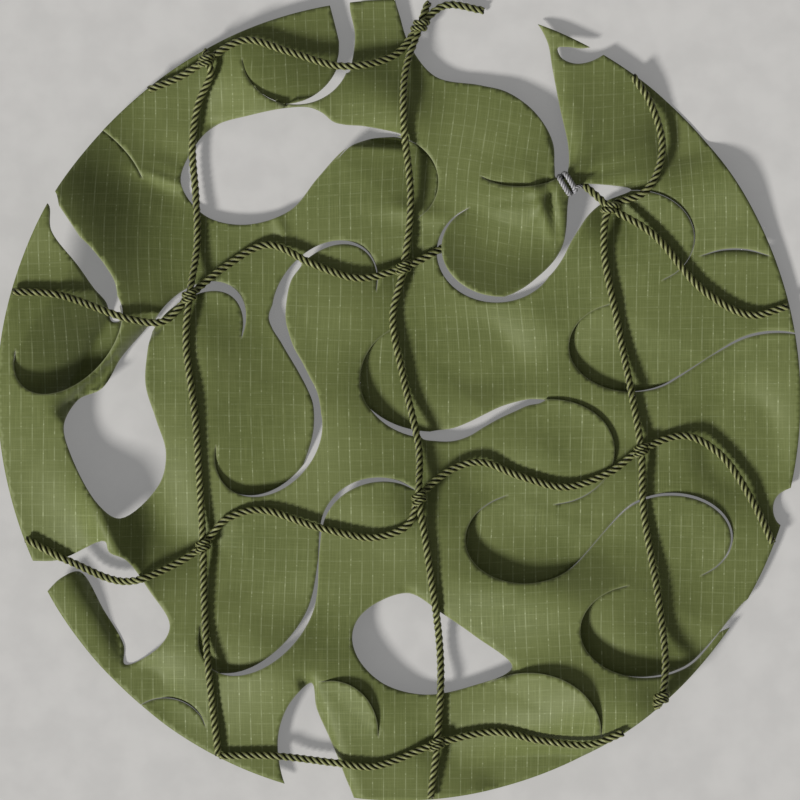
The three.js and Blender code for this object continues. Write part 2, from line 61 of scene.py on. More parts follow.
# plan of the cloth: leaves of the S cuts, openings, swells and rolled edges
discRadius = 168.0
leaves = rows("cut x y long short tilt from to gap dx dy lift", [
    ("centre", 13.5, 9, 30, 25, 0, 125, 315, 0, -3, 3.5, -5.5),
    ("centre", 62, -22, 27.5, 22, 0, 135, -85, 0, 0.7, 0.7, 2),
    ("topLeft", -43.5, 144.5, 22.5, 21, 0, 184, 362, 0, -5, 0.3, -4),
    ("topLeft", -21, 208, 26, 19.5, 50, 165, 80, 1, 0, 0, 0),
    ("sweep", -6.5, 91.5, 22.5, 19.5, 0, 150, -51, 0, 0.9, -0.3, -4),
    ("tall", -55, -17, 26, 19.5, 50, 127, 345, 0, -2, 0.5, -7.5),
    ("tall", -31.5, 43.5, 26, 19, 50, 165, -54, 1.8, 1, 0, 2),
    ("top", 50.5, 98.5, 19.5, 9, 0, 20, -150, 0, 0, -0.6, -2),
    ("low", -59.5, -89.5, 30, 19.5, 48, 130, 320, 0, -3.5, 0.8, -8),
    ("low", -9, -55.5, 24.5, 23, 0, 170, 50, 1.2, 0, -1, 2),
    ("west", -138.5, 26, 27.5, 17, 48, 131, 335, 0, -1, -2, -22),
    ("west", -132.5, 97.5, 31.5, 17, -40, 255, 46, 0, 0.8, 0.8, -7),
    ("bay", -85.5, 27.5, 25, 17.5, 50, 128, -64, 3, 0, -1, 3),
    ("foot", -98.5, -140.5, 17.5, 15.5, 0, 150, 12, 0.1, 0, 0, 1),
    ("bow", 40.5, 62, 25, 21, 0, 117, 325, 1.4, 1.2, 0.8, 14),
    ("bow", 99, 68, 24.5, 20, 0, 150, -64, 0.1, 0, 0, 1),
    ("east", 140.5, 40, 29.5, 23.5, 0, 120, 60, 0.4, 0, 0, -2),
    ("right", 53.5, -57.5, 26, 19, 5, 105, 320, 0, -1.5, -1.5, -8),
    ("right", 114, -57.5, 25.5, 18.5, 0, 140, -62, 1, 0, 0, 2),
    ("rise", 97.5, 22.5, 26.5, 19, 0, 110, 318, 0, -2, 0, -4),
    ("rise", 157.5, 12, 26, 17, 0, 130, 55, 0.9, 0, 0, 1),
    ("corner", 103, -96.5, 27.5, 19.5, 0, 105, 318, 0, -2, 0, -9),
    ("corner", 164, -96.5, 25.5, 18.5, 0, 140, 90, 4.2, 1, -2, 0),
    ("south", 53, -142, 31.5, 27.5, 0, 120, 0, 0, 0.8, 0.8, 5),
    ("heel", -30, -141.5, 21, 24, 0, 100, 0, 0, 0.6, 0.6, 3.5),
])
openings = {
    "sweep": [(-92, 91.5), (-86, 106.5), (-77.5, 115), (-63, 119), (-47, 122), (-38, 122.2),
              (-32.5, 120), (-28, 116.4), (-23.5, 115.2), (-14.5, 114.5), (1, 111), (-12.5, 109.5),
              (-23, 105), (-34.5, 93), (-46, 79.5), (-65, 73.5), (-82, 77.5)],
    "top": [(-1.5, 174), (0.5, 159), (4.5, 148), (15, 135.5), (33.5, 132), (45, 129), (56.5, 120.5),
            (64, 108), (64.6, 97), (65, 93.4), (68.8, 92.6), (70.5, 97.5), (70.5, 106), (67, 122.5),
            (64, 138.5), (61.5, 151), (54, 162), (29.5, 176.5)],
    "bay": [(-103.6, 32.5), (-105.6, 21), (-106.5, 6.5), (-102, -8.5), (-98, -22), (-101, -35.5),
            (-117, -49.5), (-126, -43.5), (-137.5, -23.5), (-140.5, -10.5), (-135, 0), (-124.5, 5),
            (-117.5, 17), (-110, 26)],
    "cape": [(-163, -69), (-143, -67), (-123.3, -59), (-121.5, -63.5), (-114.5, -67), (-105, -80),
             (-96.5, -94.5), (-101.5, -104), (-115.5, -111), (-116, -103), (-124.5, -88), (-134.5, -72),
             (-142, -74.5), (-156, -87)],
    "south": [(-20, -99.5), (-17.5, -91.5), (-9, -84.5), (4, -81), (17, -89), (31.5, -99), (47, -112),
              (29.5, -120), (10.5, -123.5), (-6.5, -119), (-17, -109)],
    "heel": [(-37, -118.5), (-45.5, -126), (-50.5, -137.5), (-51, -149.5), (-47, -164), (-38, -175),
             (-18.5, -175), (-24, -155.5), (-29.5, -142), (-35, -129)],
    "throat": [(43.5, 42.9), (47.5, 44.6), (52.3, 47.3), (57.3, 51.2), (62.2, 55.7), (65.6, 59.9),
               (68.3, 65.1), (69.6, 72), (70.2, 82), (71.2, 87.2), (73.6, 90), (82, 90.4), (97, 88.2),
               (85.5, 83), (79, 77.5), (74.8, 71.4), (71.6, 66.2), (68.5, 59.9), (64.8, 54.4),
               (60.5, 49.9), (56, 46.2), (50, 43.4), (45.5, 42.4)],
    "notch": [(66.2, 147.6), (67.6, 143.6), (73, 141.1), (79.7, 141.9), (88, 146.5), (92, 150),
              (83, 148.6), (76.7, 147.4), (70, 148)],
    "band": [(-153, 84), (-146.3, 81.5), (-145.1, 70.6), (-134.3, 56.1), (-127.8, 46.5), (-123.1, 40.8),
             (-121, 33), (-117.3, 33.4), (-117.8, 40), (-119, 48.8), (-123.1, 56.1), (-129.4, 64.1),
             (-136.7, 71.4), (-141.5, 79.4), (-143.5, 86.6), (-149, 93)],
    "gore": [(-31, 173), (-28.6, 165), (-26, 155), (-25.6, 146), (-26.5, 138), (-21.5, 137), (-20, 142),
             (-18.9, 153), (-21, 164), (-21.5, 174)],
    "slot": [(9, -14.5), (14, -13), (22.3, -11.8), (29, -9.2), (35.3, -6.1), (42, -2.9), (48.7, -0.8),
             (55, 0.4), (61, -0.2), (58.8, -1.6), (53.8, -2.5), (48.7, -4.6), (42, -7.6), (35.3, -11.3),
             (29, -15.1), (22.3, -17.2), (15, -17.2), (9.5, -16.2)],
    "vee": [(-44.1, 56), (-49.1, 49.1), (-52.5, 42), (-55, 35), (-53.6, 30.2), (-50.6, 25.4),
            (-46.4, 18.9), (-42.6, 12.2), (-38.6, 4.2), (-36.6, -1), (-36, -6.5), (-36.3, -12.6),
            (-37.3, -17.5), (-38.9, -22.5), (-40.4, -27.2), (-39.4, -26.2), (-37.6, -22.8),
            (-34.9, -17.5), (-33.4, -12), (-33.1, -5.5), (-34.7, 3.2), (-37.8, 9.5), (-41, 15.8),
            (-44.5, 22), (-46.6, 28), (-47.9, 33.6), (-47.5, 42), (-45.5, 50.4), (-41.3, 56.7)],
    "bite": [(172, -36), (159, -39.5), (156.5, -45.5), (159, -52), (172, -55)],
}
swells = rows("x y rx ry height", [
    (-176, 28, 58, 50, 23), (-98, 92, 26, 24, -6), (-88, -29, 16, 38, 5), (-126, -42, 17, 17, 7),
    (-94, -55, 18, 20, -6), (-23, -8, 22, 25, 5), (4, -50, 26, 20, 7), (34, -78, 26, 18, 5),
    (55, 82, 24, 17, 9), (67, 109, 28, 24, 5), (-54, 124, 36, 28, 13), (-78, 122, 16, 16, -7),
    (142, 96, 22, 22, 5), (80, 2, 26, 16, 3), (58, -80, 26, 14, 6), (96, -128, 32, 18, 9),
    (-52, -112, 30, 20, 10), (-18, -82, 28, 26, 5), (-66, -8, 26, 30, 5), (-12, -124, 18, 14, 3),
    (34, 21, 34, 20, -6), (143, -17, 18, 22, -8), (67, -155, 30, 12, -12), (66, -128, 30, 24, 8),
    (-108, -121, 14, 12, -8), (122, 113, 18, 18, -8), (-140, -82, 16, 16, 4), (91, 78, 13, 12, -3),
    (56, -24, 20, 14, 4), (82, -98, 26, 24, 6), (-20, 38, 18, 16, 3), (56, 31, 14, 12, 3),
    (-82, 24, 14, 14, 3), (-150, 88, 32, 32, 17), (-14, 128, 16, 16, 5), (2, 120, 12, 12, 4),
    (104, -104, 20, 18, 5),
])
rolls = rows("x1 y1 x2 y2 width drop", [
    (-77.5, 115, 1, 111, 5, 4), (55, 159, 69.5, 105, 10, 6), (-138, -1, -105, 31.5, 9, 9),
    (-116, -105, -134.5, -72, 9, 7), (4, -81, 47, -112, 4, 3), (-37, -118.5, -20, -168, 6, 4),
])
# creases as soft troughs and ridges
creases = rows("x y heading length width height", [
    (-99, 92.4, -20, 23, 2, 1.9), (-97.5, 96, -20, 26, 5.5, 2.2), (-120.5, -59.5, -65, 42, 5.5, 8.0),
    (-119, -58, -65, 54, 14, 5), (-131, 60, -58, 70, 16, 4), (-50, 72.2, -69, 14, 2.4, 1.5),
    (6.3, 78.6, -10, 28, 4, 2.0), (61, 86, 62, 20, 1.5, 1.9), (63.5, 82, -78, 18, 1.5, -2.2),
    (59, 80, -70, 26, 2.2, 1.7), (56, 87, 24, 20, 1.7, 1.2), (67, 78, -84, 22, 1.6, 1.1),
    (51, 84, 8, 24, 2.2, -1.0), (75, 97, 46, 20, 1.7, 2.0), (78.5, 93.5, 26, 20, 1.7, -1.9),
    (83, 97.5, 34, 26, 2.4, 1.3), (73, 102, 66, 24, 2.0, 1.1), (86, 92.5, 12, 26, 2.2, 0.9),
])
# knots, with the way that the column cord runs through each
knots = rows("x y heading", [
    (-81, 142, 80), (8.5, 157, 65), (-88, 43.5, 85), (1.5, 55.5, 85), (88, 80.5, 60),
    (-82.5, -61, 85), (8, -41, 95), (101, -21, 85), (15.5, -144, 85), (109, -124.5, 80),
])
clothSizes = dict(level=4.0, solid=1.0, thick=0.5, kerf=0.14, edgeStep=1.5, pitch=1.7, rim=700, arcStep=18,
                  flapPower=1.2, edgeSlack=3.0, tuckBlend=3.0, tuckReach=10.0, press=1.9, pressReach=9.0,
                  cutSpan=20, openingSpan=8, rowShare=0.866, gridClear=0.55, weld=1e-4, leastArea=1e-7,
                  reliefRise=3.0, rimSlack=0.4, weaveUnit=100.0, cutWidth=0.35, cutArea=0.08)


def curve(points, closed=False, perSpan=12):
    pts = np.array(points, float)
    count = len(pts)
    padded = np.vstack([2 * pts[0] - pts[1], pts, 2 * pts[-1] - pts[-2]])
    at = (lambda i: pts[i % count]) if closed else (lambda i: padded[i + 1])
    t = np.arange(perSpan)[:, None] / perSpan
    spans = []
    for i in range(count if closed else count - 1):
        p0, p1, p2, p3 = at(i - 1), at(i), at(i + 1), at(i + 2)
        d0, d1, d2 = [max(math.dist(a, b), 1e-6) ** 0.5 for a, b in ((p0, p1), (p1, p2), (p2, p3))]
        m1 = ((p1 - p0) / d0 - (p2 - p0) / (d0 + d1) + (p2 - p1) / d1) * d1
        m2 = ((p2 - p1) / d1 - (p3 - p1) / (d1 + d2) + (p3 - p2) / d2) * d1
        bend = 3 * (p2 - p1) - 2 * m1 - m2
        twist = 2 * (p1 - p2) + m1 + m2
        spans.append(p1 + m1 * t + bend * t ** 2 + twist * t ** 3)
    if not closed:
        spans.append(pts[-1:])
    return np.vstack(spans)


def runLength(line):
    return np.concatenate([[0], np.cumsum(np.linalg.norm(np.diff(line, axis=0), axis=1))])


def spaced(line, step):
    length = runLength(line)
    at = np.linspace(0, length[-1], max(2, round(length[-1] / step)) + 1)
    return np.stack([np.interp(at, length, line[:, k]) for k in range(line.shape[1])], 1), at


def unit(v):
    return v / np.maximum(np.linalg.norm(v, axis=-1, keepdims=True), 1e-9)


def smooth(t):
    t = np.clip(t, 0, 1)
    return t * t * (3 - 2 * t)


def inside(x, y, loop):
    hit = np.zeros(len(x), bool)
    low, high = loop.min(0), loop.max(0)
    near = np.nonzero((x > low[0]) & (x < high[0]) & (y > low[1]) & (y < high[1]))[0]
    px, py = x[near], y[near]
    odd = np.zeros(len(near), bool)
    for (ax, ay), (bx, by) in zip(loop, np.roll(loop, -1, 0)):
        if ay != by:
            odd ^= ((ay > py) != (by > py)) & (px < ax + (py - ay) * (bx - ax) / (by - ay))
    hit[near] = odd
    return hit


def ovalArc(leaf):
    count = round(abs(leaf["to"] - leaf["from"]) / clothSizes["arcStep"])
    angle = np.radians(np.linspace(leaf["from"], leaf["to"], count + 1))
    tilt = math.radians(leaf["tilt"])
    along, across = leaf["long"] * np.cos(angle), leaf["short"] * np.sin(angle)
    return np.stack([leaf["x"] + along * math.cos(tilt) - across * math.sin(tilt),
                     leaf["y"] + along * math.sin(tilt) + across * math.cos(tilt)], 1)


def makeCut(parts):
    arcs = [ovalArc(leaf) for leaf in parts]
    perSpan = clothSizes["cutSpan"]
    line = curve(np.vstack(arcs), False, perSpan)
    length = runLength(line)
    split = length[int(perSpan * (len(arcs[0]) - 0.5))] / length[-1] if len(parts) == 2 else 1.0
    stations, at = spaced(line, clothSizes["edgeStep"])
    share = at / at[-1]
    ahead = unit(np.gradient(stations, axis=0))
    side = np.stack([-ahead[:, 1], ahead[:, 0]], 1)
    half = np.where(share > split, 1, 0)
    pick = lambda key: np.array([leaf[key] for leaf in parts], float)[half]
    turn = np.where(pick("to") > pick("from"), 1.0, -1.0)
    part = np.where(half == 0, share / split, (1 - share) / max(1 - split, 1e-6))
    opened = np.sin(math.pi * np.clip(part, 0, 1))[:, None]
    inward = side * turn[:, None]
    drawn = (inward * pick("gap")[:, None] + np.stack([pick("dx"), pick("dy")], 1)) * opened
    past = np.maximum(0, -(drawn * inward).sum(1))[:, None] * inward
    drawn += past  # a leaf that slides past its cut is tucked later
    kerf = np.full((len(stations), 1), clothSizes["kerf"] / 2)
    kerf[[0, -1]] = 0
    left = stations + side * kerf + np.where(turn[:, None] > 0, drawn, 0)
    right = stations - side * kerf + np.where(turn[:, None] < 0, drawn, 0)
    middle = (left + right) / 2
    made = []
    for i, leaf in enumerate(parts):
        own = half == i
        own[1:] |= own[:-1] if i == 0 else False
        made.append(makeFlap(middle[own], -past[own], leaf["lift"]))
    return np.vstack([left, right[-2:0:-1]]), made


def makeFlap(edge, tuck, lift):
    along = unit(edge[-1] - edge[0])
    normal = np.array([-along[1], along[0]])
    reach = (edge - edge[0]) @ normal
    far = reach[np.argmax(np.abs(reach))]
    return dict(edge=edge, tuck=tuck, start=edge[0], normal=normal, far=far, lift=lift)


cutNames = list(dict.fromkeys(leaf["cut"] for leaf in leaves))
cuts = [makeCut([leaf for leaf in leaves if leaf["cut"] == name]) for name in cutNames]
flaps = [flap for cut in cuts for flap in cut[1]]
gaps = [cut[0] for cut in cuts]
gaps += [curve(points, True, clothSizes["openingSpan"]) for points in openings.values()]


def inGap(x, y):
    return np.any([inside(x, y, loop) for loop in gaps], axis=0)


def rollDrop(roll, x, y):
    x1, y1, width = roll["x1"], roll["y1"], roll["width"]
    length = math.hypot(roll["x2"] - x1, roll["y2"] - y1)
    ux, uy = (roll["x2"] - x1) / length, (roll["y2"] - y1) / length
    along, away = (x - x1) * ux + (y - y1) * uy, (y - y1) * ux - (x - x1) * uy
    depth = np.clip(1 - away / width, 0, 1)
    fade = smooth(along / width + 1) * smooth((length - along) / width + 1)
    fall = roll["drop"] * (1 - np.sqrt(1 - depth ** 2)) * fade
    return fall * smooth(away / clothSizes["edgeSlack"] + 2)


def clothHeight(x, y):
    z = np.full(len(x), clothSizes["level"])
    for s in swells:
        z = z + s["height"] * np.exp(-((x - s["x"]) / s["rx"]) ** 2 - ((y - s["y"]) / s["ry"]) ** 2)
    for flap in flaps:
        offset = np.stack([x, y], 1) - flap["start"]
        reach = np.maximum(offset @ flap["normal"] / flap["far"], 0)
        z = z + np.where(inside(x, y, flap["edge"]), flap["lift"] * reach ** clothSizes["flapPower"], 0)
    for roll in rolls:
        z = z - rollDrop(roll, x, y)
    for c in creases:
        ux, uy = math.cos(math.radians(c["heading"])), math.sin(math.radians(c["heading"]))
        along, across = (x - c["x"]) * ux + (y - c["y"]) * uy, (y - c["y"]) * ux - (x - c["x"]) * uy
        z = z + c["height"] * np.exp(-(across / c["width"]) ** 2 - (2 * along / c["length"]) ** 2)
    for knot in knots:
        away = np.hypot(x - knot["x"], y - knot["y"]) / clothSizes["pressReach"]
        z = z - clothSizes["press"] * np.exp(-away ** 2)
    return np.where(z <= -1, 0, np.where(z < 1, (z + 1) ** 2 / 4, z))  # eased onto the floor


reliefSizes = dict(broad=26.0, broadHeight=0.55, broadSeed=3.1, small=9.0, smallHeight=0.16, smallSeed=8.4)


def unevenness(x, y, size, seed):
    return np.array([noise.noise(Vector((a / size, b / size, seed))) for a, b in zip(x, y)])


def relief(x, y):
    r = reliefSizes
    broad = r["broadHeight"] * unevenness(x, y, r["broad"], r["broadSeed"])
    return broad + r["smallHeight"] * unevenness(x, y, r["small"], r["smallSeed"])


# the weave turns a little from place to place
turns = rows("x y reach turn", [
    (40, 105, 45, 11), (40, 62, 24, 9), (-35, 30, 40, 3), (13, 5, 30, 1), (-130, 40, 40, -4),
    (110, 100, 40, -5), (-60, -80, 40, 3), (60, -100, 40, -3), (-45, 145, 30, -3), (120, -80, 40, 2),
    (-90, 90, 40, 4),
])


def weaveCoords(x, y):
    u, v = x.copy(), y.copy()
    for t in turns:
        dx, dy = x - t["x"], y - t["y"]
        angle = math.radians(t["turn"]) * np.exp(-(dx ** 2 + dy ** 2) / t["reach"] ** 2)
        u += dx * (np.cos(angle) - 1) - dy * np.sin(angle)
        v += dx * np.sin(angle) + dy * (np.cos(angle) - 1)
    return u, v


def tuckLeaves(x, y):
    shift = np.zeros((len(x), 2))
    for flap in flaps:
        own = np.nonzero(inside(x, y, flap["edge"]))[0]
        offset = np.stack([x[own], y[own]], 1)[:, None] - flap["edge"][None]
        away = np.linalg.norm(offset, axis=2)
        weight = np.exp(-(away / clothSizes["tuckBlend"]) ** 2) + 1e-12
        drawn = (weight[:, :, None] * flap["tuck"][None]).sum(1) / weight.sum(1)[:, None]
        shift[own] += drawn * np.exp(-(away.min(1) / clothSizes["tuckReach"]) ** 2)[:, None]
    return shift


def planMesh():
    points, edges = [], []
    circle = np.linspace(0, 2 * math.pi, clothSizes["rim"], endpoint=False)
    rim = discRadius * np.stack([np.cos(circle), np.sin(circle)], 1)
    for loop in [rim] + gaps:
        first = len(points)
        points += [tuple(p) for p in loop]
        edges += [(first + i, first + (i + 1) % len(loop)) for i in range(len(loop))]
    tree = kdtree.KDTree(len(points))
    for i, p in enumerate(points):
        tree.insert((p[0], p[1], 0), i)
    tree.balance()
    pitch, rowShare = clothSizes["pitch"], clothSizes["rowShare"]
    count = int(discRadius / (pitch * rowShare)) + 1
    grid = np.array([((c + (0.5 if r % 2 else 0)) * pitch, r * pitch * rowShare)
                     for r in range(-count, count + 1) for c in range(-count, count + 1)])
    grid = grid[np.hypot(grid[:, 0], grid[:, 1]) < discRadius - pitch / 2]
    grid = grid[~inGap(grid[:, 0], grid[:, 1])]
    least = pitch * clothSizes["gridClear"]
    points += [tuple(p) for p in grid if tree.find((p[0], p[1], 0))[2] > least]
    made = geometry.delaunay_2d_cdt([Vector(p) for p in points], edges, [], 0, clothSizes["weld"])
    verts = np.array([tuple(v) for v in made[0]])
    tris = np.array([f for f in made[2] if len(f) == 3])
    middle = verts[tris].mean(1)
    kept = (np.hypot(middle[:, 0], middle[:, 1]) < discRadius) & ~inGap(middle[:, 0], middle[:, 1])
    tris = tris[kept]
    a, b, c = verts[tris[:, 0]], verts[tris[:, 1]], verts[tris[:, 2]]
    area = (b[:, 0] - a[:, 0]) * (c[:, 1] - a[:, 1]) - (b[:, 1] - a[:, 1]) * (c[:, 0] - a[:, 0])
    tris[area < 0] = tris[area < 0][:, ::-1]
    return verts, largestPiece(len(verts), tris[np.abs(area) > clothSizes["leastArea"]])


def largestPiece(count, tris):
    root = list(range(count))

    def top(i):
        while root[i] != i:
            root[i] = root[root[i]]
            i = root[i]
        return i

    for a, b, c in tris:
        ra = top(a)
        root[top(b)] = ra
        root[top(c)] = top(ra)
    owner = np.array([top(t[0]) for t in tris])
    names, sizes = np.unique(owner, return_counts=True)
    return tris[owner == names[np.argmax(sizes)]]


def meshObject(name, verts, faces, smoothFaces=None):
    mesh = bpy.data.meshes.new(name)
    corners = [tuple(int(i) for i in face) for face in faces]
    mesh.from_pydata([tuple(v) for v in np.asarray(verts) * mm], [], corners)
    flags = np.ones(len(mesh.polygons), bool) if smoothFaces is None else smoothFaces
    mesh.polygons.foreach_set("use_smooth", flags)
    mesh.update()
    piece = bpy.data.objects.new(name, mesh)
    bpy.context.collection.objects.link(piece)
    return piece


def addUv(mesh, uv):
    layer = mesh.uv_layers.new(name="weave")
    index = np.zeros(len(mesh.loops), int)
    mesh.loops.foreach_get("vertex_index", index)
    layer.data.foreach_set("uv", np.asarray(uv)[index].astype(np.float32).ravel())


def addValue(mesh, name, values):
    mesh.attributes.new(name, "FLOAT", "POINT").data.foreach_set("value", np.asarray(values, np.float32))


def makeCloth():
    plan, tris = planMesh()
    used = np.unique(tris)
    renumber = np.full(len(plan), -1)
    renumber[used] = np.arange(len(used))
    plan, tris = plan[used], renumber[tris]
    x, y = plan[:, 0], plan[:, 1]
    low = clothHeight(x, y)
    raised = smooth(low / clothSizes["reliefRise"])
    low = low + raised * (clothSizes["solid"] - clothSizes["thick"] + relief(x, y))
    shift = tuckLeaves(x, y)
    x, y = x + shift[:, 0], y + shift[:, 1]
    count = len(plan)
    pairs = {}
    for a, b, c in tris.tolist():
        for edge in ((a, b), (b, c), (c, a)):
            if edge[::-1] in pairs:
                del pairs[edge[::-1]]
            else:
                pairs[edge] = True
    walls = [(a, b, b + count, a + count) for a, b in pairs]
    verts = np.vstack([np.column_stack([x, y, low]), np.column_stack([x, y, low + clothSizes["thick"]])])
    faces = (tris + count).tolist() + tris[:, ::-1].tolist() + walls
    piece = meshObject("ripstopCloth", verts, faces, np.arange(len(faces)) < 2 * len(tris))
    u, v = weaveCoords(plan[:, 0], plan[:, 1])
    addUv(piece.data, np.tile(np.column_stack([u, v]) / clothSizes["weaveUnit"], (2, 1)))
    inner = discRadius - clothSizes["rimSlack"]
    rimless = [e[0] for e in pairs if math.hypot(*plan[e[0]]) < inner]
    tree = kdtree.KDTree(len(rimless))
    for i in rimless:
        tree.insert((plan[i][0], plan[i][1], 0), i)
    tree.balance()
    away = np.array([tree.find((p[0], p[1], 0))[2] for p in plan])
    addValue(piece.data, "cutEdge", np.tile(away, 2))
    print("cloth", len(faces), "faces")
    return piece


cloth = makeCloth()

# net: twisted cords, repeated from the solids' routes; -1 goes under the cloth
under = -1
cords = {
    "columnWest": [(-82.5, 148.5), (-81, 142), (-79, 137.5), (-84.5, 124), (-87, 107), (-85.5, 84),
                   (-85, 65), (-88, 43.5), (-89.5, 25), (-85.5, -8.5), (-83.5, -40), (-82.5, -61),
                   (-82, -84), (-80.5, -109), (-77, -150.5)],
    "columnMiddle": [(12, 169.5), (8.5, 157), (2.5, 138.5), (1.5, 117.5), (4.5, 84), (1.5, 55.5),
                     (-3, 34.5), (1.5, 9), (8, -21), (8, -41), (11, -61), (17, -109), (15.5, -144),
                     (13, -169.5)],
    "columnEast": [(98.5, 137), (105, 124.5), (110, 105), (103, 87.5), (88, 80.5), (85.5, 63),
                   (90.5, 35.5), (97.5, 0), (101, -21), (102, -46), (108, -82), (111, -111.5),
                   (109, -124.5), (108, -129.5)],
    "rowTop": [(-106, 131), (-92.5, 135), (-81, 142), (-65, 150.5), (-46, 145.5), (-23, 139.5),
               (-2, 144.5), (8.5, 157), (19, 165.5), (35.5, 165.5)],
    "rowUpper": [(-164.5, 46), (-143, 44), (-111.5, 33.5), (-98.5, 33), (-88, 43.5), (-73.5, 55.5),
                 (-55.5, 65), (-35.5, 56.5), (-17, 51), (1.5, 55.5), (13, 61), (23.5, 67, under),
                 (42, 75.5, under), (60, 85, under), (69, 90.4, under), (75, 91.2, under),
                 (79.5, 88, under), (84, 84), (88, 80.5), (106, 69.5), (127, 46), (147, 35.5),
                 (165.5, 40)],
    "rowLower": [(-158.5, -59), (-138.5, -67.5), (-115.5, -76), (-96.5, -70), (-82.5, -61),
                 (-73.5, -50.5), (-59.5, -46), (-33.5, -53.5), (-10.5, -57.5), (3.5, -52), (8, -41),
                 (21, -29.5), (33.5, -26), (50.5, -32), (69.5, -36.5), (87.5, -30.5), (101, -21),
                 (119.5, -15), (134.5, -23), (147, -41), (159.5, -61)],
    "rowBottom": [(-76.5, -151), (-54.5, -149), (-27.5, -152), (-10.5, -153.5), (15.5, -144),
                  (40, -139), (59, -142.5), (80, -144), (94, -140.5)],
}
cordSizes = dict(radius=1.7, strand=0.79, lay=8.7, strands=3, sides=6, step=0.67, station=3.5, clear=0.6,
                 passes=8, levelShare=0.5, feelerStep=45, knotRing=2.5, knotCord=1.25, knotStrand=0.6,
                 knotLay=5.2, knotSides=5, knotSteps=40, knotSlant=24, knotShift=1.3, uvUnit=10)
knotReach = cordSizes["knotRing"] + cordSizes["knotCord"]
tieSizes = dict(x=69.9, y=90.5, heading=-59, halfWidth=4.2, halfHeight=4.1, drop=1.7, gap=1.65, pinch=0.35,
                squareness=2 / 3, thread=1.2, lay=4.2, strands=3, sides=6, steps=24, span=6, step=0.45,
                strandShare=0.54, helixShare=0.46, endStrand=0.32, endHelix=0.28)
tieTail = [(72.4, 88.6, 3.4), (74.2, 89.2, 4.0), (76.2, 89.4, 3.0)]  # height from the tie's middle


def bearing(x, y, reach, pick, none):
    angles = np.radians(np.arange(0, 360, cordSizes["feelerStep"]))
    px = np.column_stack([x, x[:, None] + reach[:, None] * np.cos(angles)]).ravel()
    py = np.column_stack([y, y[:, None] + reach[:, None] * np.sin(angles)]).ravel()
    on = (np.hypot(px, py) < discRadius) & ~inGap(px, py)
    return pick(np.where(on, clothHeight(px, py), none).reshape(len(x), -1), axis=1)


def makeStations(route):
    endRadius = discRadius - cordSizes["radius"] / 2
    points = []
    for point in route:
        pull = min(1, endRadius / math.hypot(point[0], point[1]))
        points.append((point[0] * pull, point[1] * pull, point[2] if len(point) == 3 else 1))
    x, y, level = spaced(curve(points), cordSizes["station"])[0].T
    near = [next((k for k in knots if math.hypot(k["x"] - a, k["y"] - b) < cordSizes["station"]), None)
            for a, b in zip(x, y)]
    reach = np.array([knotReach if knot else cordSizes["radius"] for knot in near])
    floor = np.maximum(bearing(x, y, reach, np.max, -clothSizes["solid"]) + clothSizes["solid"], 0)
    floor = np.where(level > cordSizes["levelShare"], floor, 0) + reach + cordSizes["clear"]
    roof = bearing(x, y, np.full(len(x), cordSizes["radius"]), np.min, math.inf)
    hung = roof - cordSizes["radius"] - cordSizes["clear"]
    roof = np.where(level < -cordSizes["levelShare"], hung, math.inf)
    held = np.hypot(x - tieSizes["x"], y - tieSizes["y"]) < cordSizes["station"]
    keys = ("x", "y", "knot", "floor", "roof", "held", "pin")
    return [dict(zip(keys, values)) for values in zip(x, y, near, floor, roof, held, [None] * len(x))]


def settle(run):
    for s in run:
        s["z"] = min(s["floor"] if s["pin"] is None else s["pin"], s["roof"])
    for _ in range(cordSizes["passes"]):
        for i in range(1, len(run) - 1):
            s = run[i]
            straight = (run[i - 1]["z"] + run[i + 1]["z"]) / 2
            s["z"] = min(max(straight, s["floor"]), s["roof"]) if s["pin"] is None else s["pin"]


runs = [makeStations(route) for route in cords.values()]
for run in runs:
    settle(run)
for knot in knots:
    joined = [s for run in runs for s in run if s["knot"] is knot]
    knot["z"] = max(s["z"] for s in joined)
    for s in joined:
        s["pin"] = knot["z"]
for run in runs:
    for s in run:
        if s["held"]:
            s["pin"] = s["roof"]
    settle(run)


def twisted(path, up, strand, helix, lay, strands, sides, closed):
    ahead = np.roll(path, -1, 0) - np.roll(path, 1, 0) if closed else np.gradient(path, axis=0)
    ahead = unit(ahead)
    right = unit(np.cross(ahead, up))
    top = np.cross(right, ahead)
    length = runLength(path)
    if closed:
        whole = length[-1] + math.dist(path[-1], path[0])
        lay = whole / round(whole / lay)  # whole turns, so that the strands meet
    verts, faces, paintedGrooveShade, uv = [], [], [], []
    steps = len(path)
    theta = np.linspace(0, 2 * math.pi, sides, endpoint=False)
    for k in range(strands):
        phase = 2 * math.pi * (length / lay + k / strands)
        out = np.cos(phase)[:, None] * top + np.sin(phase)[:, None] * right
        around = -np.sin(phase)[:, None] * top + np.cos(phase)[:, None] * right
        run = unit(ahead + around * (2 * math.pi * helix / lay))
        across = np.cross(run, out)
        centre = path + helix * out
        outward = np.cos(theta)[None, :, None] * out[:, None]
        sideways = np.sin(theta)[None, :, None] * across[:, None]
        ring = centre[:, None] + strand * (outward + sideways)
        base = sum(len(v) for v in verts)
        verts.append(ring.reshape(-1, 3))
        # how far each strand face turns outward: the mask for the painted shade in the grooves between
        # strands
        paintedGrooveShade.append(np.tile(np.cos(theta), steps))
        along = np.repeat(length / cordSizes["uvUnit"], sides)
        uv.append(np.column_stack([along, np.tile(np.arange(sides) / sides, steps) + k]))
        for i in range(steps if closed else steps - 1):
            near, far = base + i * sides, base + (i + 1) % steps * sides
            for s in range(sides):
                n = (s + 1) % sides
                faces.append((near + s, near + n, far + n, far + s))
        if not closed:
            faces.append(tuple(base + s for s in reversed(range(sides))))
            faces.append(tuple(base + (steps - 1) * sides + s for s in range(sides)))
    return np.vstack(verts), faces, np.concatenate(paintedGrooveShade), np.vstack(uv)


